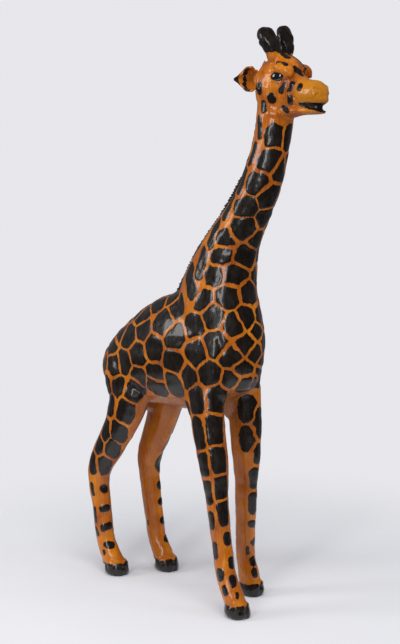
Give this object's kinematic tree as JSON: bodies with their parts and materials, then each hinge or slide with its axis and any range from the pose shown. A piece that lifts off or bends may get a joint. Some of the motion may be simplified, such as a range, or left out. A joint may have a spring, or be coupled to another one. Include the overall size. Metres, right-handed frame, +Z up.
{
  "type": "papier-mache giraffe figure",
  "caption": "Standing giraffe ornament moulded in papier-mache, painted with a dark patchwork coat on orange and varnished, caught mid-stride on its own hooves",
  "frame": {"origin": "on the ground, at the centre of the bounding box's underside", "axes": "+Z up from the hooves to the horns; the giraffe faces -Y; its own left side is towards +X"},
  "size_m": [0.1768, 0.6208, 1.1822],
  "materials": {
    "giraffe": "gloss"
  },
  "bodies": {
    "root": {"giraffe": "giraffe"}
  },
  "joints": []
}
